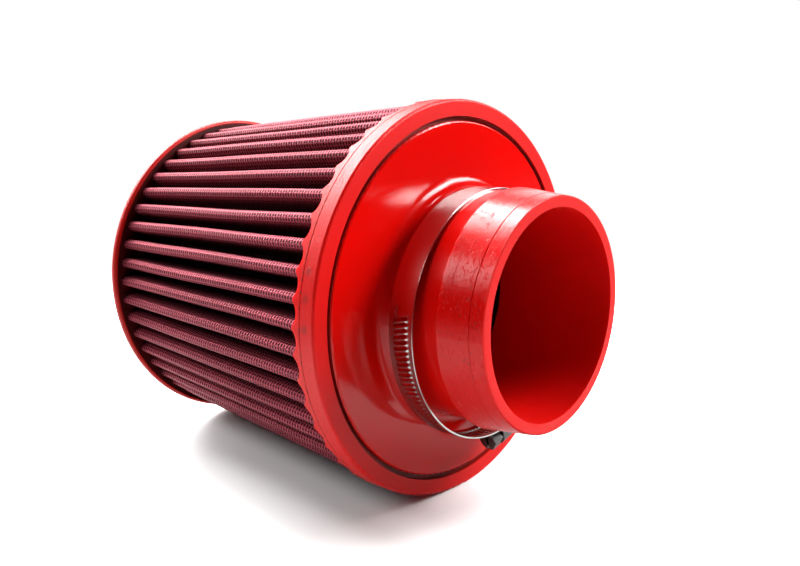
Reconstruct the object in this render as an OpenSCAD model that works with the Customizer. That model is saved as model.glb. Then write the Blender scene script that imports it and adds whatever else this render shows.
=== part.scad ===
// Cone air filter with a clamp-on neck, standing on its closed rear cap.
// Millimetres. The Z axis is the axis of the neck and of the pleated cone.

/* [Neck] */
// Inside diameter of the neck, where the intake pipe goes
bore_d = 76; // [72:0.5:80]
// Wall of the neck at its mouth
mouth_wall = 4; // [3:0.1:4.6]
// Wall of the sleeve at its rear step
sleeve_wall = 6; // [5.2:0.1:7]
// Wall of the neck where the clamp sits
seat_wall = 4.7; // [4:0.1:5.1]
// Length of the neck in front of the cap's face
neck_len = 42.5; // [38:0.5:50]
// Length of the sleeve, from the mouth to its rear step
sleeve_len = 17.5; // [12:0.5:20]
// Distance of the fine moulding line from the mouth
sleeve_line_back = 5.3; // [3:0.1:8]
// Radius of the fillet between the neck and the cap's face
shoulder_round = 5; // [3:0.5:6]
// Radius of the mouth's outer edge
mouth_round = 0.5; // [0.2:0.1:1]

/* [Front cap] */
// Diameter of the front cap
cap_d = 150; // [146:0.5:156]
// Height of the cap's side band, from its face to the potting
cap_band_h = 8.7; // [7.5:0.1:14]
// Radius of the cap's front edge
cap_round = 1; // [0.4:0.1:2]
// Diameter of the disc inside the ring groove
disc_d = 134.4; // [128:0.2:138]
// Width of the ring groove
groove_w = 1.7; // [1:0.1:3]
// Depth of the ring groove
groove_depth = 2; // [1:0.1:2.6]
// Radius of the disc's edge beside the groove
disc_round = 0.8; // [0.3:0.1:1]
// Distance of the mould's parting line from the cap's face
parting_back = 6.5; // [4:0.1:7.5]
// Width and depth of the fine moulded lines
fine_line = 0.3; // [0.2:0.05:0.4]
// Length of the teeth that lap over the pleat crests
tooth_h = 1.6; // [1:0.1:3]
// Width of a tooth's tip
tooth_tip_w = 1.2; // [0.4:0.1:1.6]
// Height of the arch over each valley above the potting
arch_rise = 0.3; // [0.2:0.1:1]

/* [Rear cap] */
// Diameter of the closed rear cap
rear_cap_d = 136; // [133:0.5:140]
// Thickness of the rear cap
rear_cap_h = 3.2; // [3:0.1:6]
// Radius of the rear cap's edges
rear_cap_round = 1.1; // [0.5:0.1:1.4]

/* [Pleated pack] */
// Height of the filter without its neck
element_h = 135; // [110:1:160]
// Number of pleats
pleats = 50; // [44:1:54]
// Depth of a pleat, from crest to valley
pleat_depth = 14; // [11:0.5:15]
// Fold radius at the crests, at the middle of the pack
crest_round = 1.15; // [1:0.05:1.3]
// Fold radius in the valleys, at the middle of the pack
valley_round = 1.45; // [1.2:0.05:1.6]
// Thickness of the cotton gauze
gauze_t = 0.9; // [0.7:0.05:1.1]
// Thickness of each wire screen
screen_t = 0.4; // [0.3:0.05:0.45]
// Wall of the front cap outside the crests
skirt_wall = 1.1; // [0.9:0.1:1.6]
// Ledge of the rear cap outside the crests
ledge_w = 3; // [2:0.1:6]
// Depth of the pack's end in the front cap
front_potting = 5; // [3:0.5:5.5]
// Depth of the pack's end in the rear cap
rear_potting = 2; // [1.5:0.1:2.4]

/* [Seam clip] */
// Sheet thickness of the clip that closes the pleated ring
clip_t = 0.4; // [0.3:0.05:0.45]
// How far the clip reaches up each side of the fold
clip_wrap = 3.5; // [2:0.1:5]
// Number of the valley fold that the clip closes
clip_fold_number = 25; // [20:1:30]
// Distance of the clip's ends from the caps
clip_inset = 1; // [0.5:0.5:5]

/* [Clamp band] */
// Width of the band
band_w = 10.5; // [9:0.1:12]
// Thickness of the band
band_t = 0.6; // [0.5:0.05:0.8]
// Distance of the band from the cap's face
band_back = 6; // [5.5:0.1:9]
// Half of the clearance between the open clamp and the neck
clamp_slack = 2.75; // [0.5:0.05:4]
// Gap left where one face only touches another
touch_gap = 0.05; // [0.03:0.01:0.1]
// Angle of the first slot round the neck
first_slot = -9; // [-30:1:10]
// Slots from the first one to the end of the band
slots = 52; // [46:1:52]
// Spacing of the slots along the band
slot_pitch = 2; // [1.9:0.02:2.04]
// Length of a slot
slot_l = 6; // [5:0.1:7]
// Width of a slot
slot_w = 1.1; // [0.8:0.05:1.3]
// Slant of a slot
slot_tilt = 11; // [6:1:14]
// Radius of the band's outer edges
band_ease = 0.15; // [0.05:0.05:0.25]
// Length of the corners cut off at the band's slotted end
tail_cut = 1.8; // [1:0.1:2]
// Angle from the middle of the housing back to the band's plain end
plain_end_angle = 11; // [9:0.5:14]
// Angle before the lap from which slots stay out of the band beneath
lap_margin_angle = 3; // [2:0.5:4]

/* [Clamp housing and screw] */
// Angle of the screw housing round the neck
housing_angle = 104; // [98:1:108]
// Length of the housing along the band
housing_l = 13; // [11:0.5:14]
// Sheet thickness of the housing
housing_t = 0.9; // [0.7:0.05:1.1]
// How far the housing's feet reach under the band
foot_reach = 3; // [2:0.1:4]
// Outer diameter of the worm
worm_d = 6.4; // [6:0.1:7]
// Height of the worm above the band
worm_lift = 0.5; // [0.3:0.05:0.8]
// Clearance of the turning head from the band
head_lift = 0.14; // [0.1:0.02:0.3]
// Diameter of the journal beside the head
journal_d = 4.8; // [4:0.1:5.2]
// Diameter of the journal at the screw's tip
tip_d = 3.4; // [3:0.1:4]
// Radial clearance of the screw in its housing
screw_fit = 0.05; // [0.03:0.01:0.1]
// Width across the flats of the hexagon head
hex_af = 7; // [6.4:0.1:7]
// Length of the head
head_h = 5.2; // [4:0.1:6]
// Bevel of the head's corners
head_ease = 0.6; // [0.3:0.1:0.8]
// Length play of the screw in its housing
end_play = 0.15; // [0.1:0.05:0.3]
// How far the screw's tip stands out of the housing
tip_past = 0.8; // [0.4:0.1:1.5]
// Width of the screwdriver slot
driver_w = 1.1; // [0.8:0.1:1.5]
// Depth of the screwdriver slot
driver_depth = 1.8; // [1:0.1:2.5]

/* [Hidden] */
$fn = 96;
eps = 0.01;

// How far a cutting tool runs past what it cuts
cut_past = 1;

bore_r = bore_d / 2;
cap_r = cap_d / 2;
disc_r = disc_d / 2;
rear_cap_r = rear_cap_d / 2;
top_z = element_h + neck_len;
step_z = top_z - sleeve_len;
floor_z = element_h - cap_band_h;

// The pack stands between these two levels, its ends sunk in the caps.
pack_z0 = rear_cap_h - rear_potting;
pack_z1 = floor_z + front_potting;
pack_t = gauze_t + 2 * screen_t;
fold_turn = 360 / pleats;
crest_front_r = cap_r - skirt_wall;
crest_rear_r = rear_cap_r - ledge_w;
crest_slope = (crest_front_r - crest_rear_r) / (floor_z - rear_cap_h);
crest_steps = 4;
valley_steps = 2;

// The clamp hangs off centre by its slack and touches the neck on one side.
seat_r = bore_r + seat_wall;
band_in_r = seat_r + touch_gap + clamp_slack;
band_step = band_t + touch_gap;
band_z = element_h + band_back + band_w / 2;
slot_turn = slot_pitch / (band_in_r + band_t) * 180 / PI;
tail_end = 360 + first_slot + slots * slot_turn;
tail_r = band_in_r + band_step;
corner_turn = tail_cut / 2 / tail_r * 180 / PI;
inner_end = housing_angle - plain_end_angle;
lap_end = 360 + inner_end;

worm_r = worm_d / 2;
hex_r = hex_af / 2 / cos(30);
band_top_r = tail_r + band_t;
screw_r = max(band_top_r + worm_lift + worm_r,
              sqrt(band_top_r * band_top_r - housing_l * housing_l / 4) + hex_r + head_lift);
arch_in_r = worm_r + screw_fit;
housing_half = housing_l / 2;
plate_r = band_top_r + touch_gap;
housing_turn = asin(housing_half / (plate_r + housing_t));
foot_r = band_in_r - touch_gap;
cheek_w = band_w / 2 + touch_gap;

function crest_r(z) = crest_rear_r + crest_slope * (z - rear_cap_h);

// Cross-section of one pleat at height z, as [across, outwards] points. The
// crest and valley folds are arcs joined by their common tangent, and d is
// the distance from the middle of the pack, outwards positive.
function crest_centre(z) = crest_r(z) - crest_round - pack_t / 2;
function valley_centre(z) = crest_r(z) - pleat_depth + valley_round - pack_t / 2;
function tangent_angle(z) =
    let (half = fold_turn / 2)
    let (across = valley_centre(z) * sin(half))
    let (drop = crest_centre(z) - valley_centre(z) * cos(half))
    atan2(across, drop) - asin((crest_round + valley_round) / norm([across, drop]));
function on_ring(turn, across, out, z) =
    [out * cos(turn) - across * sin(turn), out * sin(turn) + across * cos(turn), z];
function crest_arc(turn, z, d) =
    let (a = tangent_angle(z))
    [for (k = [0:crest_steps])
        let (dir = 180 - a - k * (180 - 2 * a) / crest_steps)
        on_ring(turn, (crest_round + d) * cos(dir),
                crest_centre(z) + (crest_round + d) * sin(dir), z)];
function valley_arc(turn, z, d) =
    let (a = tangent_angle(z) + fold_turn / 2)
    [for (k = [0:valley_steps])
        let (dir = a + k * (180 - 2 * a) / valley_steps)
        on_ring(turn, -(valley_round - d) * cos(dir),
                valley_centre(z) - (valley_round - d) * sin(dir), z)];
function pleat_ring(z, d) =
    [for (i = [0:pleats - 1])
        each concat(crest_arc((i + 0.5) * fold_turn, z, d),
                    valley_arc((i + 1) * fold_turn, z, d))];

// One valley fold with the two flanks up to its neighbouring crests
function valley_fold(turn, z, d) =
    concat(crest_arc(turn - fold_turn / 2, z, d), valley_arc(turn, z, d),
           crest_arc(turn + fold_turn / 2, z, d));

// A sheet between an outer and an inner row of points, each given at its lower
// and its upper end. A closed sheet runs all the way round.
module sheet(out_low, out_high, in_low, in_high, closed) {
    n = len(out_low);
    last = closed ? n - 1 : n - 2;
    walls = [for (i = [0:last])
        let (j = (i + 1) % n)
        each [[i, n + i, n + j], [i, n + j, j],
              [2 * n + i, 2 * n + j, 3 * n + j], [2 * n + i, 3 * n + j, 3 * n + i],
              [n + i, 3 * n + i, 3 * n + j], [n + i, 3 * n + j, n + j],
              [i, j, 2 * n + j], [i, 2 * n + j, 2 * n + i]]];
    edges = [[0, 2 * n, 3 * n], [0, 3 * n, n],
             [n - 1, 2 * n - 1, 4 * n - 1], [n - 1, 4 * n - 1, 3 * n - 1]];
    polyhedron(concat(out_low, out_high, in_low, in_high),
               closed ? walls : concat(walls, edges), convexity = 10);
}

// A pleated layer between two distances from the middle of the pack
module pleated_layer(d_out, d_in) {
    sheet(pleat_ring(pack_z0, d_out), pleat_ring(pack_z1, d_out),
          pleat_ring(pack_z0, d_in), pleat_ring(pack_z1, d_in), true);
}

// What is cut off a square corner to round it, drawn in the corner
module corner_waste(r) {
    difference() {
        translate([-eps, -eps]) square(r + eps);
        translate([r, r]) circle(r);
    }
}

// The front cap's outline, from its bore outwards
module front_cap_outline() {
    sleeve_line_r = bore_r + mouth_wall + (sleeve_wall - mouth_wall) * sleeve_line_back / sleeve_len;
    difference() {
        union() {
            translate([bore_r, floor_z - tooth_h])
                square([cap_r - bore_r, cap_band_h + tooth_h]);
            translate([bore_r, floor_z]) square([seat_wall, step_z - floor_z]);
            polygon([[bore_r, step_z], [bore_r + sleeve_wall, step_z],
                     [bore_r + mouth_wall, top_z], [bore_r, top_z]]);
            translate([seat_r, element_h]) difference() {
                translate([-eps, -eps]) square(shoulder_round + eps);
                translate([shoulder_round, shoulder_round]) circle(shoulder_round);
            }
        }
        translate([bore_r - eps, floor_z - tooth_h - eps])
            square([crest_front_r + touch_gap - bore_r + eps, tooth_h + eps]);
        translate([disc_r, element_h - groove_depth]) square([groove_w, groove_depth + eps]);
        translate([disc_r, element_h]) rotate(180) corner_waste(disc_round);
        translate([cap_r, element_h]) rotate(180) corner_waste(cap_round);
        translate([cap_r, element_h - parting_back]) rotate(45) square(fine_line, center = true);
        translate([sleeve_line_r, top_z - sleeve_line_back])
            rotate(45) square(fine_line, center = true);
        translate([bore_r + mouth_wall, top_z]) rotate(180) corner_waste(mouth_round);
    }
}

module front_cap() {
    half_chord = cap_r * sin(fold_turn / 2) - tooth_tip_w / 2;
    rise = tooth_h + arch_rise;
    arch_r = (half_chord * half_chord + rise * rise) / (2 * rise);
    color("#d4161b")
    difference() {
        rotate_extrude() front_cap_outline();
        for (i = [0:pleats - 1])
            rotate(i * fold_turn)
                translate([crest_front_r - 2 * cut_past, 0, floor_z + arch_rise - arch_r])
                    rotate([0, 90, 0]) cylinder(r = arch_r, h = skirt_wall + 4 * cut_past);
        pleated_layer(pack_t / 2, -pack_t / 2);
    }
}

module rear_cap() {
    color("#d4161b")
    difference() {
        rotate_extrude() difference() {
            square([rear_cap_r, rear_cap_h]);
            translate([rear_cap_r, rear_cap_h]) rotate(180) corner_waste(rear_cap_round);
            translate([rear_cap_r, 0]) rotate(90) corner_waste(rear_cap_round);
        }
        pleated_layer(pack_t / 2, -pack_t / 2);
    }
}

module outer_screen() {
    color("#b5495b") pleated_layer(pack_t / 2, gauze_t / 2);
}

module gauze_media() {
    color("#a3283c") pleated_layer(gauze_t / 2, -gauze_t / 2);
}

module inner_screen() {
    color("#b5495b") pleated_layer(-gauze_t / 2, -pack_t / 2);
}

// The clip is bent round one valley fold from inside, and its sides end on a
// line that runs parallel to the fold.
module seam_clip() {
    low = rear_cap_h + clip_inset;
    high = floor_z - clip_inset;
    near = -pack_t / 2 - touch_gap;
    far = near - clip_t;
    turn = clip_fold_number * fold_turn;
    color("#b9bcc0")
    intersection() {
        sheet(valley_fold(turn, pack_z0, near), valley_fold(turn, pack_z1, near),
              valley_fold(turn, pack_z0, far), valley_fold(turn, pack_z1, far), false);
        rotate(turn) rotate([90, 0, 0]) linear_extrude(2 * pleat_depth, center = true)
            polygon([[0, low], [valley_centre(low) + clip_wrap, low],
                     [valley_centre(high) + clip_wrap, high], [0, high]]);
    }
}

// Places its children at the clamp's centre, where the loose clamp hangs
module clamp_place() {
    translate([0, clamp_slack, band_z]) children();
}

// A stretch of the band round its own centre, its outer edges eased
module band_arc(r, from, turn) {
    rotate_extrude(start = from, angle = turn) difference() {
        translate([r, -band_w / 2]) square([band_t, band_w]);
        translate([r + band_t, band_w / 2]) rotate(180) corner_waste(band_ease);
        translate([r + band_t, -band_w / 2]) rotate(90) corner_waste(band_ease);
    }
}

// A slanted slot with round ends, cut outwards from radius r
module band_slot(r) {
    straight = slot_l - slot_w;
    translate([r, 0, 0]) rotate([slot_tilt, 0, 0]) rotate([0, 90, 0])
        linear_extrude(band_step + band_t + 2 * cut_past) {
            square([straight, slot_w], center = true);
            for (side = [-1, 1]) translate([side * straight / 2, 0]) circle(d = slot_w);
        }
}

// What is cut off a corner of the slotted end, on the given side of the band
module tail_corner(side) {
    reach = tail_cut + cut_past;
    rotate(tail_end - corner_turn)
        translate([tail_r - touch_gap / 2, tail_cut / 2, side * band_w / 2])
            rotate([90, 0, 90]) linear_extrude(band_t + cut_past)
                polygon([[-reach, side * cut_past], [cut_past, side * cut_past],
                         [cut_past, -side * reach]]);
}

// The band makes one turn in two half circles, the second one wider, so that
// its slotted end laps over its plain end inside the housing.
module clamp_band() {
    color("#c4c6ca")
    clamp_place() {
        rotate(inner_end) band_arc(band_in_r, 0, 180);
        difference() {
            rotate(inner_end) {
                translate([band_step / 2, 0, 0]) band_arc(band_in_r + band_step / 2, 180, 180);
                band_arc(tail_r, 0, tail_end - lap_end);
            }
            for (i = [0:slots - 1]) {
                turn = first_slot + i * slot_turn;
                lapped = turn > inner_end - lap_margin_angle;
                rotate(turn) band_slot(lapped ? tail_r - touch_gap / 2 : band_in_r - cut_past);
            }
            for (side = [-1, 1]) tail_corner(side);
        }
    }
}

// The housing is one stamping: cheeks and feet round the band, and an arch
// over the worm that is open towards the band.
module clamp_housing() {
    arch_out_r = arch_in_r + housing_t;
    leg_r = (plate_r + plate_r + housing_t) / 2 - (plate_r - plate_r * cos(housing_turn)) / 2;
    half_w = cheek_w + housing_t;
    tunnel_l = housing_l - 2 * housing_t;
    color("#b4b6ba")
    clamp_place() rotate(housing_angle) difference() {
        union() {
            rotate_extrude(start = -housing_turn, angle = 2 * housing_turn) difference() {
                translate([foot_r - housing_t, -half_w])
                    square([plate_r + 2 * housing_t - foot_r, 2 * half_w]);
                translate([foot_r - housing_t - eps, foot_reach - cheek_w])
                    square([housing_t + 3 * eps, 2 * (cheek_w - foot_reach)]);
            }
            translate([leg_r, -housing_half, -arch_out_r])
                cube([screw_r - leg_r, housing_l, 2 * arch_out_r]);
            translate([screw_r, -housing_half, 0]) rotate([-90, 0, 0])
                cylinder(r = arch_out_r, h = housing_l);
        }
        rotate_extrude(start = -2 * housing_turn, angle = 4 * housing_turn)
            translate([foot_r, -cheek_w]) square([plate_r - foot_r, 2 * cheek_w]);
        translate([screw_r, -tunnel_l / 2, 0]) rotate([-90, 0, 0])
            cylinder(r = arch_in_r, h = tunnel_l);
        translate([plate_r - cut_past, -tunnel_l / 2, -arch_in_r])
            cube([screw_r - plate_r + cut_past, tunnel_l, 2 * arch_in_r]);
        translate([screw_r, -housing_half - cut_past, 0]) rotate([-90, 0, 0])
            cylinder(d = journal_d + 2 * screw_fit, h = housing_half);
        translate([screw_r, 0, 0]) rotate([-90, 0, 0])
            cylinder(d = tip_d + 2 * screw_fit, h = housing_half + cut_past);
    }
}

// The worm screw, its head on the side that the slotted band comes from
module clamp_screw() {
    worm_half = housing_half - housing_t - end_play;
    color("#a9abb0")
    clamp_place() rotate(housing_angle) translate([screw_r, 0, 0]) rotate([90, 0, 0])
        difference() {
            union() {
                translate([0, 0, -housing_half - tip_past])
                    cylinder(d = tip_d, h = housing_l / 2 + tip_past);
                translate([0, 0, -worm_half]) cylinder(d = worm_d, h = 2 * worm_half);
                cylinder(d = journal_d, h = housing_half + end_play + eps);
                translate([0, 0, housing_half + end_play]) intersection() {
                    rotate(30) cylinder(r = hex_r, h = head_h, $fn = 6);
                    rotate_extrude() polygon([[0, 0], [hex_r - head_ease, 0], [hex_r, head_ease / 2],
                        [hex_r, head_h - head_ease / 2], [hex_r - head_ease, head_h], [0, head_h]]);
                }
            }
            translate([-hex_r, -driver_w / 2, housing_half + end_play + head_h - driver_depth])
                cube([2 * hex_r, driver_w, driver_depth + cut_past]);
        }
}

front_cap();
rear_cap();
outer_screen();
gauze_media();
inner_screen();
seam_clip();
clamp_band();
clamp_housing();
clamp_screw();
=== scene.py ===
"""Cone air filter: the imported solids, dressed with fine pleats, wire mesh and worn finishes."""

import math

import bmesh
import bpy
from bpy.props import (
    FloatProperty,
    FloatVectorProperty,
    IntProperty,
    PointerProperty,
)
from mathutils import Matrix, Vector


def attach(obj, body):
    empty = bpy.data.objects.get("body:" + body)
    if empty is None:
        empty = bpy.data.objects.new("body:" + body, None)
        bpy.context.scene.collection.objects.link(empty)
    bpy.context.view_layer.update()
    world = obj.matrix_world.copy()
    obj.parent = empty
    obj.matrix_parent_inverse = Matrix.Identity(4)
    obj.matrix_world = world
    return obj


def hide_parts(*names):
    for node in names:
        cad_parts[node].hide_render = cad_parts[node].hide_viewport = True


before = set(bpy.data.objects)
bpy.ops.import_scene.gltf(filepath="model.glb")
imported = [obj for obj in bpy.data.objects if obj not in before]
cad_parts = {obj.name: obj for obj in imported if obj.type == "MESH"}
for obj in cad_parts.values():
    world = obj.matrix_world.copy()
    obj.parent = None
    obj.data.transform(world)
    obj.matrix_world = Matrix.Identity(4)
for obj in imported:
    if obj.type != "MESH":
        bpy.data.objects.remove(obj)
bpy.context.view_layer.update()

bl_info = {
    "name": "Cone Air Filter",
    "version": (1, 0, 0),
    "blender": (4, 5, 0),
    "location": "3D View > Sidebar > Air Filter",
    "description": "Builds the visible pieces and finishes of a clamp-on cone air filter",
    "category": "Object",
}

MM = 0.001
WHITE = (1.0, 1.0, 1.0)

# Fineness of the pleats: steps in a crest's arc and in half a valley's, points inside a flank,
# and rows of faces between the two caps
CREST_STEPS = 10
VALLEY_STEPS = 4
FLANK_POINTS = 3
ROWS = 15
# More than the points of one pleat's sheet
MANY_POINTS = 1000
# Points nearer than this are one point
WELD = 1e-6

# How the crests bow sideways: the share of the depth that stays still above a valley, the long
# wave's turn from one pleat to the next, and the ripple's turn, turn per metre and share
STILL_SHARE = 0.2
WAVE_TURN = 2.4
RIPPLE_TURN = 5.1
RIPPLE_RISE = 55.0
RIPPLE_SHARE = 0.5

# Half of a wire's width, as a share of the wires' spacing
WIRE_SHARE = 0.26
# Height of a wire's round back, and of each set's middle and its swing over and under the other
WIRE_BACK = 0.45
WARP_LEVEL = 0.22
WARP_SWING = 0.30
WEFT_LEVEL = 0.50
WEFT_SWING = -0.16
# Wires from a crest's top at which the painted shade in the folds starts, and at which it is
# darkest
FOLD_SHADE = (1.6, 4.6)

# Zones of the front cap, from low to high up the axis (Z) and out from it (R), in metres
MOUTH_Z = (0.17725, 0.17745)
SLEEVE_Z = (0.16, 0.1773)
SLEEVE_R = (0.0385, 0.0388)
DISC_Z = (0.1345, 0.1601)
DISC_R = (0.0390, 0.0674)
GROOVE_Z = (0.128, 0.1346)
GROOVE_R = (0.0671, 0.0690)
SIDE_BAND_Z = (0.1225, 0.1335)
SIDE_BAND_R = (0.0735, 0.0738)
PARTING_Z = (0.12795, 0.12845)
# Zones of the rear cap: its edge, which fades out upwards, and the ledge between rim and pleats,
# which is painted near-black as shade
REAR_EDGE_Z = (0.0030, 0.0034)
REAR_EDGE_R = (0.0640, 0.0668)
LEDGE_Z = (0.0029, 0.0036)
LEDGE_R = (0.0664, 0.0671)
# Painted shade: the near-black red laid over the ledge, which lies in deep shadow between the rim
# and the pleats' ends
LEDGE_SHADE = (0.012, 0.001, 0.001)
# How softly the zones' edges fade, in metres
CRISP = 0.0001
SOFT = 0.0002
BLURRED = 0.0004
# Three dull spots on the front cap's side band, and the radii between which one fades out
BAND_SPOTS = (
    (0.0713, -0.0233, 0.1305),
    (0.0735, -0.0148, 0.1308),
    (0.0749, -0.0050, 0.1308),
)
SPOT_FADE = (0.0006, 0.0022)

# Noise in the finishes, in waves per metre
CLOUDS = 28.0
FINE = 900.0
GRAIN = 2600.0
SPECKS = 700.0
PITS = 620.0
PIT_PATCHES = 80.0
COATING_PATCHES = 42.0
CLOTH = 2600.0
WET_PATCHES = 60.0
STAINS = 260.0
# Threads of the gauze, in radians for each wire of the screen
THREADS = 14.0
# Streaks round the axis, in waves per radian round it and waves per metre across them
STREAKS = (14.0, 1500.0)
SCRATCHES = (9.0, 1300.0)
ROLLING = (4.0, 5200.0)

# Depths of the relief in the finishes, in metres
SWELL_DEPTH = 0.00010
GRAIN_DEPTH = 0.000035
WEAR_DEPTH = 0.00009
WIRE_DEPTH = 0.00050
THREAD_DEPTH = 0.00008
LAND_DEPTH = 0.00034

# The clamp band's middle and radius, and its slots: the angle from one to the next, the first
# one's angle, their slant, half their height and its fade, and the angles between which they lie
CLAMP_CENTRE = Vector((0.0, 0.00275, 0.14625))
CLAMP_RADIUS = 0.0461
SLOT_TURN = 0.002 / CLAMP_RADIUS
FIRST_SLOT = math.radians(-9.0)
SLOT_SLANT = math.tan(math.radians(11.0))
SLOT_HALF = 0.0027
SLOT_FADE = 0.0012
SLOTS_SPAN = (-0.02, 2.3)

# The filter lies on an edge of each cap, given as height and radius, so the floor leans. It stays
# the gap under them
FRONT_EDGE = (0.134, 0.075)
REAR_EDGE = (0.0012, 0.068)
LYING_RISE = math.atan2(FRONT_EDGE[1] - REAR_EDGE[1], FRONT_EDGE[0] - REAR_EDGE[0])
LYING_UP = Vector((0.0, -math.cos(LYING_RISE), math.sin(LYING_RISE)))
FLOOR_GAP = 0.00005
# The floor's spot under the filter, and how far from it the floor turns white to the camera and
# gives back less light
FLOOR_SPOT = (0.0, 0.072, 0.08)
FLOOR_WHITE = (0.22, 0.40)
FLOOR_DIM = (0.16, 0.60)

# The camera fitted to the photograph: its place and its three directions
CAMERA_PLACE = Vector((0.252976, -0.078793, 0.338097))
CAMERA_RIGHT = Vector((-0.67180, 0.03890, 0.73971))
CAMERA_DOWN = Vector((0.18453, 0.97593, 0.11627))
CAMERA_AHEAD = Vector((-0.71738, 0.21461, -0.66281))
SENSOR_WIDTH = 36.0

# Each lamp's name, its angle round the filter (0 is behind it and 90 the picture's right), its
# angle above the floor, its size in metres and its power in watts
LAMPS = (
    ("main_lamp", 331, 54, 0.60, 32.0),
    ("left_lamp", 303, 43, 0.45, 17.0),
    ("low_left_lamp", 315, 20, 0.60, 11.0),
    ("side_left_lamp", 290, 18, 0.50, 2.0),
    ("front_left_lamp", 257, 38, 0.40, 5.5),
    ("top_lamp", 3, 66, 0.50, 20.0),
    ("low_back_lamp", 20, 20, 0.60, 3.0),
    ("low_right_lamp", 75, 25, 0.40, 10.0),
    ("right_lamp", 90, 38, 0.45, 18.5),
)
# The point that the lamps face, and their distance from it
MIDDLE = Vector((0.0, 0.0, 0.09))
LAMP_DISTANCE = 1.2


def length(label, text, default):
    """A size in metres, as a property."""
    return FloatProperty(
        name=label, description=text, default=default, unit="LENGTH", subtype="DISTANCE",
        min=0.0, precision=5,
    )


def share(label, text, default):
    """A share between 0 and 1, as a property."""
    return FloatProperty(
        name=label, description=text, default=default, subtype="FACTOR", min=0.0, max=1.0
    )


def colour(label, text, default):
    """A linear colour, as a property."""
    return FloatVectorProperty(
        name=label, description=text, default=default, subtype="COLOR", size=3, min=0.0, max=1.0
    )


# Settings

class PackSettings(bpy.types.PropertyGroup):
    """Sizes of the pleated pack, the same as in the solids"""

    pleats: IntProperty(name="Pleats", description="Number of pleats", default=50, min=3)
    depth: length("Pleat depth", "From crest to valley", 14 * MM)
    crest_front: length("Front crest radius", "Pleats' outside radius at the front cap", 73.9 * MM)
    crest_rear: length("Rear crest radius", "Pleats' outside radius at the rear cap", 65 * MM)
    front_level: length("Front level", "Height at which the front radius is taken", 126.3 * MM)
    rear_level: length("Rear level", "Height at which the rear radius is taken", 3.2 * MM)
    low_end: length("Lower end", "Height of the pack's end in the rear cap", 1.2 * MM)
    high_end: length("Upper end", "Height of the pack's end in the front cap", 131.3 * MM)
    crest_round: length("Crest fold", "Fold radius at the crests, mid-thickness", 1.15 * MM)
    valley_round: length("Valley fold", "Fold radius in the valleys, mid-thickness", 1.45 * MM)
    gauze: length("Gauze", "Thickness of the cotton gauze", 0.9 * MM)
    screen: length("Screen", "Thickness of each wire screen", 0.4 * MM)
    sway: length("Sway", "How far a crest may bow sideways", 0.32 * MM)
    wires: IntProperty(
        name="Wires", description="Wires of the mesh across one pleat", default=20, min=2
    )
    wire_pitch: length("Wire pitch", "Spacing of the wires along a pleat", 1.53 * MM)


class FinishSettings(bpy.types.PropertyGroup):
    """Colours and gloss of the finishes"""

    red: colour("Polyurethane", "Colour of the moulded caps", (0.58, 0.0020, 0.0010))
    deep_red: colour(
        "Deep polyurethane", "Colour of the caps where oil has soaked in", (0.36, 0.0010, 0.0006)
    )
    grime: colour("Grime", "Dust in grooves and seams", (0.10, 0.012, 0.008))
    wire: colour("Wire coating", "Colour of the coated wire", (0.36, 0.046, 0.072))
    gauze: colour("Oiled gauze", "Colour of the oiled cotton", (0.03, 0.0015, 0.004))
    steel: colour("Stainless steel", "Colour of the clamp's band", (0.46, 0.45, 0.44))
    dark_steel: colour("Screw steel", "Colour of the clamp's screw", (0.10, 0.10, 0.10))
    cap_roughness: share("Cap roughness", "Roughness of the caps' satin faces", 0.42)
    disc_roughness: share("Disc roughness", "Roughness of the glossy disc and shoulder", 0.17)


class StageSettings(bpy.types.PropertyGroup):
    """The floor, the lights and the camera"""

    lens: FloatProperty(name="Lens", description="Focal length", default=39.457, unit="CAMERA")
    floor_size: length("Floor size", "Length of the floor's sides", 9.0)
    sky: FloatProperty(name="Fill", description="Strength of the surroundings", default=0.01)
    light: FloatProperty(
        name="Light", description="Factor on the power of all the lamps", default=1.0, min=0.0
    )


# Material building

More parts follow.
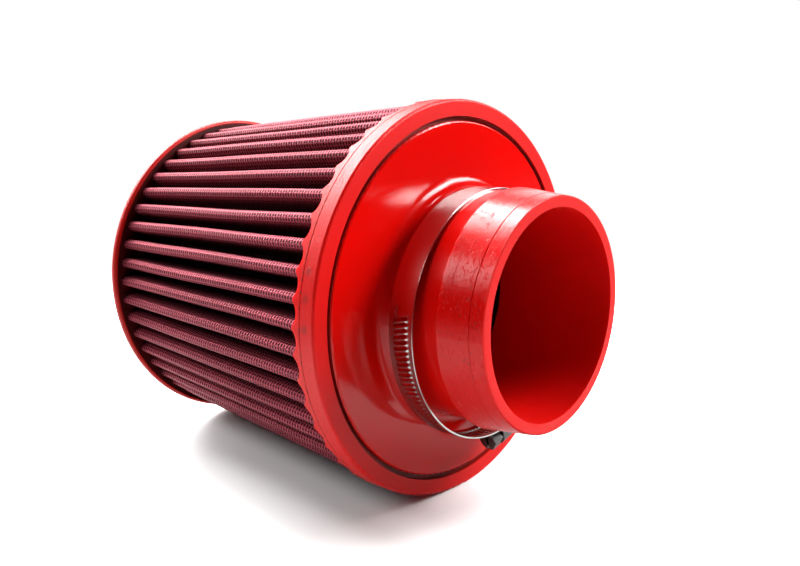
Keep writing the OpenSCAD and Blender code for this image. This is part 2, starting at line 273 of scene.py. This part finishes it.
class Finish:
    """Builds the nodes of one material; every input may be a number, a colour or a socket."""

    def __init__(self, name):
        self.material = bpy.data.materials.new(name)
        self.material.use_nodes = True
        self.tree = self.material.node_tree
        self.tree.nodes.clear()
        self.output = self.tree.nodes.new("ShaderNodeOutputMaterial")

    def put(self, socket, value):
        """Links a socket, or sets a plain value."""
        if isinstance(value, bpy.types.NodeSocket):
            self.tree.links.new(value, socket)
        elif socket.type == "RGBA":
            socket.default_value = (*value, 1.0)
        else:
            socket.default_value = value

    def node(self, kind, inputs=None, **options):
        """A node with its inputs given by name or number and its options by keyword."""
        made = self.tree.nodes.new(kind)
        for key, value in options.items():
            setattr(made, key, value)
        for key, value in (inputs or {}).items():
            self.put(made.inputs[key], value)
        return made

    def calc(self, operation, a, b=0.0, c=0.0, clamp=False):
        """One Math node."""
        made = self.node(
            "ShaderNodeMath", {0: a, 1: b, 2: c}, operation=operation, use_clamp=clamp
        )
        return made.outputs[0]

    def times(self, a, b):
        """a times b."""
        return self.calc("MULTIPLY", a, b)

    def times_add(self, a, b, c, clamp=False):
        """a times b, and c added."""
        return self.calc("MULTIPLY_ADD", a, b, c, clamp)

    def blend(self, factor, a, b):
        """A mix of two colours, a at 0 and b at 1."""
        made = self.node("ShaderNodeMix", data_type="RGBA")
        self.put(made.inputs["Factor"], factor)
        self.put(made.inputs["A"], a)
        self.put(made.inputs["B"], b)
        return made.outputs["Result"]

    def mix(self, factor, a, b):
        """A mix of two shaders, a at 0 and b at 1."""
        return self.node("ShaderNodeMixShader", {0: factor, 1: a, 2: b}).outputs[0]

    def span(self, value, low, high, to_low=0.0, to_high=1.0, smooth=False):
        """A value brought from one range to another and held there."""
        made = self.node(
            "ShaderNodeMapRange",
            {"Value": value, "From Min": low, "From Max": high,
             "To Min": to_low, "To Max": to_high},
            interpolation_type="SMOOTHSTEP" if smooth else "LINEAR",
        )
        return made.outputs["Result"]

    def within(self, value, low, high, soft):
        """1 between low and high, fading to 0 over the width soft."""
        rise = self.span(value, low - soft, low + soft, smooth=True)
        fall = self.span(value, high - soft, high + soft, 1.0, 0.0, smooth=True)
        return self.times(rise, fall)

    def noise(self, vector, scale, detail=3.0, roughness=0.55):
        """Noise between 0 and 1."""
        made = self.node(
            "ShaderNodeTexNoise",
            {"Vector": vector, "Scale": scale, "Detail": detail, "Roughness": roughness},
        )
        return made.outputs["Fac"]

    def distance(self, vector, point):
        """How far a vector lies from a point."""
        made = self.node("ShaderNodeVectorMath", {0: vector, 1: point}, operation="DISTANCE")
        return made.outputs["Value"]

    def bump(self, height, depth, normal=None):
        """A bump of the given depth in metres."""
        made = self.node(
            "ShaderNodeBump", {"Height": height, "Distance": depth, "Strength": 1.0}
        )
        if normal is not None:
            self.put(made.inputs["Normal"], normal)
        return made.outputs["Normal"]

    def show(self, shader):
        """Joins a shader to the output and gives the material."""
        self.put(self.output.inputs["Surface"], shader)
        return self.material

    def surface(self, **inputs):
        """The Principled shader, joined to the output."""
        named = {key.replace("_", " "): value for key, value in inputs.items()}
        return self.show(self.node("ShaderNodeBsdfPrincipled", named).outputs[0])

    def parts(self, vector):
        """A vector's X, Y and Z."""
        split = self.node("ShaderNodeSeparateXYZ", {0: vector}).outputs
        return split["X"], split["Y"], split["Z"]

    def object_vector(self):
        """Object coordinates, in metres."""
        return self.node("ShaderNodeTexCoord").outputs["Object"]

    def fold_map(self):
        """The pleats' own UV map: wires counted across a pleat, and wires counted along it."""
        uv = self.node("ShaderNodeUVMap", uv_map="Fold").outputs[0]
        return self.parts(uv)[:2]

    def place(self):
        """Object coordinates: the vector, its height, its radius and its turn."""
        vector = self.object_vector()
        x, y, z = self.parts(vector)
        radius = self.calc("SQRT", self.times_add(x, x, self.times(y, y)))
        return vector, z, radius, self.calc("ARCTAN2", y, x)

    def unrolled(self, turn, radius, height, around, along):
        """A vector that follows the surface round the axis, for streaks."""
        made = self.node("ShaderNodeCombineXYZ", {
            0: self.times(turn, around), 1: self.times(height, along),
            2: self.times(radius, along),
        })
        return made.outputs[0]


def darker(tint, factor):
    """A colour with its three parts times a factor."""
    return tuple(factor * part for part in tint)


def dress(node_name, material):
    """Gives a CAD node one material in all its slots."""
    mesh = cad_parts[node_name].data
    if not mesh.materials:
        mesh.materials.append(material)
    for index in range(len(mesh.materials)):
        mesh.materials[index] = material


# Finishes

def cap_zones(f, z, r):
    """Masks of the front cap's zones, 1 inside a zone and 0 outside it."""
    side_band = f.times(f.within(z, *SIDE_BAND_Z, BLURRED), f.span(r, *SIDE_BAND_R))
    return {
        "mouth": f.span(z, *MOUTH_Z),
        "sleeve": f.times(f.within(z, *SLEEVE_Z, CRISP), f.span(r, *SLEEVE_R)),
        "disc": f.times(f.within(z, *DISC_Z, SOFT), f.within(r, *DISC_R, CRISP)),
        "groove": f.times(f.within(z, *GROOVE_Z, SOFT), f.within(r, *GROOVE_R, CRISP)),
        "side_band": side_band,
        "parting": f.times(f.within(z, *PARTING_Z, CRISP), side_band),
    }


def cap_dirt(f, vector, z, r, zone, fine):
    """Dirt on the caps: specks, the parting line and the dull spots; and the rear cap's outer edge,
    darkened by a fixed share.
    """
    specks = f.span(f.noise(vector, SPECKS, 3.0, 0.6), 0.62, 0.70)
    speckled = f.times_add(zone["sleeve"], 0.5, f.times(zone["side_band"], 0.4), clamp=True)
    line = f.times(zone["parting"], f.span(fine, 0.4, 0.62, 0.0, 0.8))
    dirt = f.calc("MAXIMUM", f.times(specks, speckled), line)
    for spot in BAND_SPOTS:
        dull = f.span(f.distance(vector, spot), *SPOT_FADE, 0.42, 0.0, smooth=True)
        dirt = f.calc("MAXIMUM", dirt, dull)
    # The rear cap's outer edge is darkened by a fixed share, fading out upwards
    rear_edge = f.times(f.span(z, *REAR_EDGE_Z, 1.0, 0.0), f.span(r, *REAR_EDGE_R))
    return f.calc("MAXIMUM", dirt, f.times(rear_edge, 0.45))


def cap_wear(f, vector, z, r, turn, zone):
    """Scratches round the axis and patches of pits, on the sleeve and less on the side band."""
    scratches = f.noise(f.unrolled(turn, r, z, *SCRATCHES), 1.0, 3.0, 0.6)
    flatter = f.node("ShaderNodeMapping", {"Vector": vector, "Scale": (1.0, 1.0, 1.5)}).outputs[0]
    pits = f.span(f.noise(flatter, PITS, 3.0, 0.6), 0.58, 0.66)
    patches = f.span(f.noise(vector, PIT_PATCHES, 2.0), 0.40, 0.58)
    hurt = f.calc("MAXIMUM", f.span(scratches, 0.62, 0.70), f.times(pits, patches))
    exposed = f.calc("MAXIMUM", zone["sleeve"], f.times(zone["side_band"], 0.6))
    return f.times(hurt, exposed)


def polyurethane(look):
    """Moulded red polyurethane: satin rim, glossy disc, scuffed sleeve, dirt in the seams, and
    painted shade on the rear ledge.
    """
    f = Finish("Moulded polyurethane")
    vector, z, r, turn = f.place()
    zone = cap_zones(f, z, r)
    broad = f.noise(vector, CLOUDS, 4.0)
    fine = f.noise(vector, FINE, 4.0, 0.6)
    grain = f.noise(vector, GRAIN, 2.0, 0.5)
    streaks = f.noise(f.unrolled(turn, r, z, *STREAKS), 1.0, 3.0, 0.6)

    tone = f.blend(f.span(broad, 0.35, 0.75, 0.0, 0.22), look.red, look.deep_red)
    tone = f.blend(f.times(zone["groove"], f.span(broad, 0.3, 0.7, 0.55, 0.95)), tone, look.grime)
    tone = f.blend(cap_dirt(f, vector, z, r, zone, fine), tone, look.grime)
    # Painted shade: the ledge between the rear rim and the pleats is blended nearly to black, for
    # the deep shadow it lies in
    ledge = f.times(f.within(z, *LEDGE_Z, CRISP), f.span(r, *LEDGE_R, 1.0, 0.0))
    tone = f.blend(f.times(ledge, 0.93), tone, LEDGE_SHADE)

    satin = f.times_add(fine, 0.16, look.cap_roughness - 0.08)
    glossy = f.times_add(broad, 0.12, look.disc_roughness - 0.06)
    rough = f.times_add(f.calc("SUBTRACT", glossy, satin), zone["disc"], satin)
    rough = f.times_add(f.times_add(streaks, 0.22, -0.30), zone["sleeve"], rough)
    rough = f.times_add(zone["mouth"], 0.16, rough, clamp=True)

    uneven = f.bump(broad, SWELL_DEPTH)
    texture = f.times(f.times_add(grain, 0.35, fine), f.times_add(zone["disc"], -0.82, 1.0))
    moulded = f.bump(texture, GRAIN_DEPTH, uneven)
    unworn = f.calc("SUBTRACT", 1.0, cap_wear(f, vector, z, r, turn, zone))
    return f.surface(
        Base_Color=tone, Roughness=rough, Normal=f.bump(unworn, WEAR_DEPTH, moulded), IOR=1.5,
        Specular_IOR_Level=0.21, Coat_Weight=f.times(zone["disc"], 0.12), Coat_Roughness=0.06,
        Subsurface_Weight=0.3, Subsurface_Radius=(1.0, 0.05, 0.03), Subsurface_Scale=0.006,
    )


def woven_wires(f, position, run, level, swing):
    """Height of round wires at a position, each passing over and under along its run."""
    place = f.calc("SUBTRACT", f.calc("FRACT", position), 0.5)
    side = f.times_add(f.calc("PINGPONG", f.calc("FLOOR", position), 1.0), 2.0, -1.0)
    wave = f.times(f.calc("COSINE", f.times(run, math.pi)), side)
    flat = f.times_add(f.times(place, place), -1.0 / WIRE_SHARE ** 2, 1.0)
    dome = f.calc("SQRT", f.calc("MAXIMUM", flat, 0.0))
    top = f.times_add(dome, WIRE_BACK, f.times_add(wave, swing, level))
    return f.times(f.span(flat, 0.0, 0.08), top)


def wire_mesh(look, pack):
    """Plain-woven coated wire over the oiled gauze, with painted shade down in the folds."""
    f = Finish("Coated wire mesh")
    across, along = f.fold_map()
    vector = f.object_vector()
    warp = woven_wires(f, across, f.calc("SUBTRACT", along, 0.5), WARP_LEVEL, WARP_SWING)
    weft = woven_wires(f, along, f.calc("SUBTRACT", across, 0.5), WEFT_LEVEL, WEFT_SWING)
    height = f.calc("MAXIMUM", warp, weft)
    # Gauze shows between the wires; the wires' rounded sides and the parts that pass under another
    # also fade to the gauze's dark colour, as painted shade
    wire_cover_and_shade = f.span(height, 0.25, 0.95)

    patchy = f.noise(vector, COATING_PATCHES, 3.0)
    coating = f.blend(f.span(patchy, 0.35, 0.7), look.wire, darker(look.wire, 0.78))
    from_crest = f.calc("ABSOLUTE", f.calc("SUBTRACT", across, pack.wires / 2))
    # Painted shade: the coating's colour darkens from the crests down into the valleys, where shade
    # falls in the folds
    deep = f.span(from_crest, *FOLD_SHADE, smooth=True)
    coating = f.blend(deep, coating, darker(look.wire, 0.28))
    cloth = f.noise(vector, CLOTH, 2.0)
    return f.surface(
        Base_Color=f.blend(wire_cover_and_shade, look.gauze, coating), Metallic=f.times(wire_cover_and_shade, 0.55),
        Roughness=f.times_add(wire_cover_and_shade, -0.42, 0.85),
        Normal=f.bump(f.times_add(cloth, 0.06, height), WIRE_DEPTH),
        IOR=1.5, Specular_IOR_Level=0.14,
    )


def oiled_gauze(look):
    """Red-oiled cotton gauze with a fine weave, unevenly wet."""
    f = Finish("Oiled cotton gauze")
    across, along = f.fold_map()
    threads = f.times(
        f.calc("SINE", f.times(across, THREADS)), f.calc("SINE", f.times(along, THREADS))
    )
    wet = f.noise(f.object_vector(), WET_PATCHES, 4.0)
    return f.surface(
        Base_Color=f.blend(f.span(wet, 0.3, 0.7), look.gauze, darker(look.gauze, 1.6)),
        Roughness=f.span(wet, 0.3, 0.7, 0.55, 0.85), Normal=f.bump(threads, THREAD_DEPTH),
    )


def slot_lands(f, vector):
    """Rounded lands between the clamp band's slanted slots, 0 at a slot and 1 between two."""
    local = f.node(
        "ShaderNodeVectorMath", {0: vector, 1: tuple(CLAMP_CENTRE)}, operation="SUBTRACT"
    )
    x, y, z = f.parts(local.outputs[0])
    turn = f.calc("SUBTRACT", f.calc("ARCTAN2", y, x), FIRST_SLOT)
    turn = f.times_add(z, SLOT_SLANT / CLAMP_RADIUS, turn)
    land = f.calc("PINGPONG", f.times(turn, 2 / SLOT_TURN), 1.0)
    beside = f.within(z, -SLOT_HALF, SLOT_HALF, SLOT_FADE)
    return f.times(land, f.times(beside, f.within(turn, *SLOTS_SPAN, 0.02)))


def brushed_steel(name, tint, rough, scratch, slotted=False):
    """Rolled or stamped steel: fine scratches, stains, and the rolled edges of a band's slots."""
    f = Finish(name)
    vector, z, r, turn = f.place()
    low, high = rough
    rolled = f.noise(f.unrolled(turn, r, z, *ROLLING), 1.0, 3.0, 0.6)
    stain = f.span(f.noise(vector, STAINS, 4.0, 0.6), 0.58, 0.72, 0.0, 0.55)
    gloss = f.times_add(stain, 0.2, f.times_add(rolled, high - low, low), clamp=True)
    normal = f.bump(rolled, scratch)
    if slotted:
        normal = f.bump(slot_lands(f, vector), LAND_DEPTH, normal)
    return f.surface(
        Base_Color=f.blend(stain, tint, darker(tint, 0.45)), Metallic=1.0, Roughness=gloss,
        Normal=normal,
    )


# Objects

def add_object(name, data):
    """A new object at the origin, in the scene."""
    made = bpy.data.objects.new(name, data)
    bpy.context.scene.collection.objects.link(made)
    return made


def add_mesh(name, mesh, material):
    """A bmesh made into an object with one material."""
    data = bpy.data.meshes.new(name)
    mesh.to_mesh(data)
    mesh.free()
    data.materials.append(material)
    return add_object(name, data)


# Pleated layers

def crest_radius(pack, height):
    """Outside radius of the pleats at a height, as they taper from cap to cap."""
    slope = (pack.crest_front - pack.crest_rear) / (pack.front_level - pack.rear_level)
    return pack.crest_rear + slope * (height - pack.rear_level)


def fold_profile(pack, offset, height):
    """Points (across, outwards) of one pleat, valley to valley, at an offset from mid-thickness."""
    half = math.pi / pack.pleats
    middle = crest_radius(pack, height) - pack.gauze / 2 - pack.screen
    crest_centre = middle - pack.crest_round
    valley_centre = middle - pack.depth + pack.valley_round
    across = valley_centre * math.sin(half)
    drop = crest_centre - valley_centre * math.cos(half)
    tangent = math.atan2(across, drop) - math.asin(
        (pack.crest_round + pack.valley_round) / math.hypot(across, drop)
    )
    outer, inner = pack.crest_round + offset, pack.valley_round - offset
    lean = tangent + half
    points = []
    for k in range(VALLEY_STEPS + 1):
        direction = math.pi / 2 + k * (math.pi / 2 - lean) / VALLEY_STEPS
        x = -inner * math.cos(direction)
        y = valley_centre - inner * math.sin(direction)
        points.append((
            x * math.cos(half) - y * math.sin(half), x * math.sin(half) + y * math.cos(half)
        ))
    crest = []
    for k in range(CREST_STEPS + 1):
        direction = math.pi - tangent - k * (math.pi - 2 * tangent) / CREST_STEPS
        crest.append((
            outer * math.cos(direction), crest_centre + outer * math.sin(direction)
        ))
    foot, top = Vector(points[-1]), Vector(crest[0])
    for k in range(1, FLANK_POINTS + 1):
        points.append(tuple(foot.lerp(top, k / (FLANK_POINTS + 1))))
    return points + crest + [(-x, y) for x, y in reversed(points)]


def raise_pleat(mesh, pack, offset):
    """Makes one pleat's sheet between the caps, and gives the layer that counts wires across."""
    strand = mesh.verts.layers.float.new("strand")
    low = [Vector((y, x, pack.low_end)) for x, y in fold_profile(pack, offset, pack.low_end)]
    high = [Vector((y, x, pack.high_end)) for x, y in fold_profile(pack, offset, pack.high_end)]
    run = [0.0]
    for a, b in zip(low, low[1:]):
        run.append(run[-1] + (b - a).length)
    foot = [mesh.verts.new(point) for point in low]
    for vert, along in zip(foot, run):
        vert[strand] = along / run[-1] * pack.wires
    # The points of each new row keep their strands, which tell their places in the profiles
    ends = {round(vert[strand], 5): pair for vert, pair in zip(foot, zip(low, high))}
    row = [mesh.edges.new(pair) for pair in zip(foot, foot[1:])]
    for step in range(1, ROWS + 1):
        grown = bmesh.ops.extrude_edge_only(mesh, edges=row)["geom"]
        row = [part for part in grown if isinstance(part, bmesh.types.BMEdge)]
        for vert in (part for part in grown if isinstance(part, bmesh.types.BMVert)):
            bottom, top = ends[round(vert[strand], 5)]
            vert.co = bottom.lerp(top, step / ROWS)
    # The extrusion's edges and faces come in another order each run, so they are put in one
    mesh.verts.index_update()
    for parts in (mesh.edges, mesh.faces):
        parts.sort(key=place_in_order)
    return strand


def place_in_order(part):
    """A number that puts edges or faces in the order of their points."""
    numbers = [vert.index for vert in part.verts]
    return MANY_POINTS * min(numbers) + max(numbers)


def sway_crest(vert, pack, turn):
    """Bows a crest a little sideways between the caps, and leaves the valleys where they are."""
    angle = math.atan2(vert.co.y, vert.co.x) % (2 * math.pi)
    pleat = int(angle / turn)
    valley = crest_radius(pack, vert.co.z) - pack.depth
    rise = (vert.co.xy.length - valley) / pack.depth
    rise = min(max(rise - STILL_SHARE, 0.0) / (1 - STILL_SHARE), 1.0)
    free = (vert.co.z - pack.rear_level) / (pack.front_level - pack.rear_level)
    bow = math.sin(math.pi * min(max(free, 0.0), 1.0))
    ripple = math.sin(pleat * RIPPLE_TURN + RIPPLE_RISE * vert.co.z)
    wave = math.sin(pleat * WAVE_TURN) + RIPPLE_SHARE * ripple
    shift = pack.sway * bow * rise * wave
    vert.co.x -= shift * math.sin(angle)
    vert.co.y += shift * math.cos(angle)


def pleated_layer(pack, name, outside, inside, node_name, material):
    """A folded layer with its thickness between two distances from the middle of the pack."""
    mesh = bmesh.new()
    fold = mesh.loops.layers.uv.new("Fold")
    strand = raise_pleat(mesh, pack, outside)
    for face in mesh.faces:
        face.smooth = True
        for loop in face.loops:
            loop[fold].uv = (loop.vert[strand], loop.vert.co.z / pack.wire_pitch)
    turn = 2 * math.pi / pack.pleats
    bmesh.ops.rotate(
        mesh, verts=mesh.verts, cent=(0, 0, 0), matrix=Matrix.Rotation(turn / 2, 3, "Z")
    )
    bmesh.ops.spin(
        mesh, geom=mesh.verts[:] + mesh.edges[:] + mesh.faces[:], cent=(0, 0, 0),
        axis=(0, 0, 1), dvec=(0, 0, 0), angle=turn * (pack.pleats - 1),
        steps=pack.pleats - 1, use_duplicate=True, use_merge=False,
    )
    bmesh.ops.remove_doubles(mesh, verts=mesh.verts, dist=WELD)
    bmesh.ops.recalc_face_normals(mesh, faces=mesh.faces)
    for vert in mesh.verts:
        sway_crest(vert, pack, turn)
    piece = add_mesh(name, mesh, material)
    wall = piece.modifiers.new("Thickness", "SOLIDIFY")
    wall.thickness = outside - inside
    wall.offset = -1.0
    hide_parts(node_name)
    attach(piece, "filter")
    return piece


# Stage

def floor_finish():
    """A floor that shows its shadow, is white to the camera round it, and is clear from below."""
    f = Finish("Pale floor")
    away = f.distance(f.object_vector(), FLOOR_SPOT)
    pale = f.blend(f.span(away, *FLOOR_DIM), (0.52, 0.52, 0.52), (0.10, 0.10, 0.10))
    unseen = f.node("ShaderNodeBsdfDiffuse", {"Color": pale}).outputs[0]
    shaded = f.node("ShaderNodeBsdfDiffuse", {"Color": WHITE}).outputs[0]
    white = f.node("ShaderNodeEmission", {"Color": WHITE, "Strength": 1.0}).outputs[0]
    seen = f.mix(f.span(away, *FLOOR_WHITE, smooth=True), shaded, white)
    above = f.mix(f.node("ShaderNodeLightPath").outputs["Is Camera Ray"], unseen, seen)
    clear = f.node("ShaderNodeBsdfTransparent").outputs[0]
    below = f.node("ShaderNodeNewGeometry").outputs["Backfacing"]
    return f.show(f.mix(below, above, clear))


def lay_floor(size):
    """A flat floor just under both caps of the lying filter."""
    along = Vector((0.0, math.sin(LYING_RISE), math.cos(LYING_RISE)))
    lean = Matrix((along.cross(LYING_UP), along, LYING_UP)).transposed().to_4x4()
    ground = Vector((0.0, FRONT_EDGE[1], FRONT_EDGE[0])) - FLOOR_GAP * LYING_UP
    mesh = bmesh.new()
    bmesh.ops.create_grid(mesh, x_segments=1, y_segments=1, size=size / 2)
    bmesh.ops.transform(mesh, matrix=Matrix.Translation(ground) @ lean, verts=mesh.verts)
    return add_mesh("floor", mesh, floor_finish())


def hang_lamp(name, turn, rise, size, power):
    """A soft square lamp that faces the filter, at its angles round it and above the floor."""
    level = (CAMERA_AHEAD - CAMERA_AHEAD.dot(LYING_UP) * LYING_UP).normalized()
    turn, rise = math.radians(turn), math.radians(rise)
    outwards = math.cos(turn) * level + math.sin(turn) * level.cross(LYING_UP)
    place = MIDDLE + LAMP_DISTANCE * (math.cos(rise) * outwards + math.sin(rise) * LYING_UP)
    data = bpy.data.lights.new(name, "AREA")
    data.shape = "SQUARE"
    data.size = size
    data.energy = power
    toward = (MIDDLE - place).normalized()
    side = toward.cross(LYING_UP).normalized()
    facing = Matrix((side, side.cross(toward), -toward)).transposed().to_4x4()
    made = add_object(name, data)
    made.matrix_world = Matrix.Translation(place) @ facing
    return made


def surroundings(strength):
    """Surroundings that light the filter dimly and are white to the camera."""
    world = bpy.data.worlds.new("Surroundings")
    world.use_nodes = True
    tree = world.node_tree
    tree.nodes.clear()
    mix = tree.nodes.new("ShaderNodeMixShader")
    for socket, level in ((1, strength), (2, 1.0)):
        glow = tree.nodes.new("ShaderNodeBackground")
        glow.inputs["Color"].default_value = (*WHITE, 1.0)
        glow.inputs["Strength"].default_value = level
        tree.links.new(glow.outputs[0], mix.inputs[socket])
    path = tree.nodes.new("ShaderNodeLightPath")
    tree.links.new(path.outputs["Is Camera Ray"], mix.inputs[0])
    out = tree.nodes.new("ShaderNodeOutputWorld")
    tree.links.new(mix.outputs[0], out.inputs["Surface"])
    return world


def aim_camera(lens):
    """The camera at the photograph's place and angle."""
    data = bpy.data.cameras.new("camera")
    data.sensor_width = SENSOR_WIDTH
    data.lens = lens
    made = add_object("camera", data)
    facing = Matrix((CAMERA_RIGHT, -CAMERA_DOWN, -CAMERA_AHEAD)).transposed().to_4x4()
    made.matrix_world = Matrix.Translation(CAMERA_PLACE) @ facing
    return made


# Operators

class BuildPleats(bpy.types.Operator):
    """Builds the fine pleated layers: two wire screens and the oiled gauze between them"""

    bl_idname = "air_filter.build_pleats"
    bl_label = "Build pleats"

    def execute(self, context):
        pack, look = context.scene.filter_pack, context.scene.filter_finish
        mesh, cloth = wire_mesh(look, pack), oiled_gauze(look)
        edge = pack.gauze / 2
        face = edge + pack.screen
        outer = pleated_layer(pack, "outer_wire_screen", face, edge, "outer_screen", mesh)
        cotton = pleated_layer(pack, "cotton_gauze", edge, -edge, "gauze_media", cloth)
        inner = pleated_layer(pack, "inner_wire_screen", -edge, -face, "inner_screen", mesh)
        return {"FINISHED"}


class FinishCaps(bpy.types.Operator):
    """Gives the moulded caps their worn polyurethane"""

    bl_idname = "air_filter.finish_caps"
    bl_label = "Finish caps"

    def execute(self, context):
        material = polyurethane(context.scene.filter_finish)
        dress("front_cap", material)
        dress("rear_cap", material)
        return {"FINISHED"}


class FinishClamp(bpy.types.Operator):
    """Gives the clamp, its screw and the pack's seam clip their steels"""

    bl_idname = "air_filter.finish_clamp"
    bl_label = "Finish clamp"

    def execute(self, context):
        look = context.scene.filter_finish
        band = brushed_steel("Polished band", look.steel, (0.10, 0.26), 0.000004, slotted=True)
        dress("clamp_band", band)
        housing = brushed_steel("Stamped housing", look.dark_steel, (0.25, 0.45), 0.000008)
        dress("clamp_housing", housing)
        screw = brushed_steel("Turned screw", look.dark_steel, (0.25, 0.45), 0.000010)
        dress("clamp_screw", screw)
        clip = brushed_steel("Folded clip", look.steel, (0.30, 0.50), 0.000008)
        dress("seam_clip", clip)
        return {"FINISHED"}


class BuildStage(bpy.types.Operator):
    """Lays the floor under the filter's lying side and places the lights and the camera"""

    bl_idname = "air_filter.build_stage"
    bl_label = "Build stage"

    def execute(self, context):
        stage = context.scene.filter_stage
        floor = lay_floor(stage.floor_size)
        for name, turn, rise, size, power in LAMPS:
            hang_lamp(name, turn, rise, size, power * stage.light)
        context.scene.world = surroundings(stage.sky)
        context.scene.camera = aim_camera(stage.lens)
        context.scene.view_settings.view_transform = "Standard"
        return {"FINISHED"}


class AirFilterPanel(bpy.types.Panel):
    """Sizes, finishes and build steps of the air filter"""

    bl_idname = "VIEW3D_PT_air_filter"
    bl_label = "Air Filter"
    bl_space_type = "VIEW_3D"
    bl_region_type = "UI"
    bl_category = "Air Filter"

    def draw(self, context):
        for key in GROUPS:
            group = getattr(context.scene, key)
            box = self.layout.box()
            for setting in group.__annotations__:
                box.prop(group, setting)
        for operator in OPERATORS:
            self.layout.operator(operator.bl_idname)


GROUPS = {
    "filter_pack": PackSettings,
    "filter_finish": FinishSettings,
    "filter_stage": StageSettings,
}
OPERATORS = (BuildPleats, FinishCaps, FinishClamp, BuildStage)
CLASSES = (*GROUPS.values(), *OPERATORS, AirFilterPanel)


def register():
    """Adds the settings, the operators and the panel."""
    for cls in CLASSES:
        bpy.utils.register_class(cls)
    for key, cls in GROUPS.items():
        setattr(bpy.types.Scene, key, PointerProperty(type=cls))


def unregister():
    """Takes them away again."""
    for key in GROUPS:
        delattr(bpy.types.Scene, key)
    for cls in reversed(CLASSES):
        bpy.utils.unregister_class(cls)


def main():
    """Registers the add-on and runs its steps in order."""
    register()
    bpy.ops.air_filter.build_pleats()
    bpy.ops.air_filter.finish_caps()
    bpy.ops.air_filter.finish_clamp()
    bpy.ops.air_filter.build_stage()


if __name__ == "__main__":
    main()
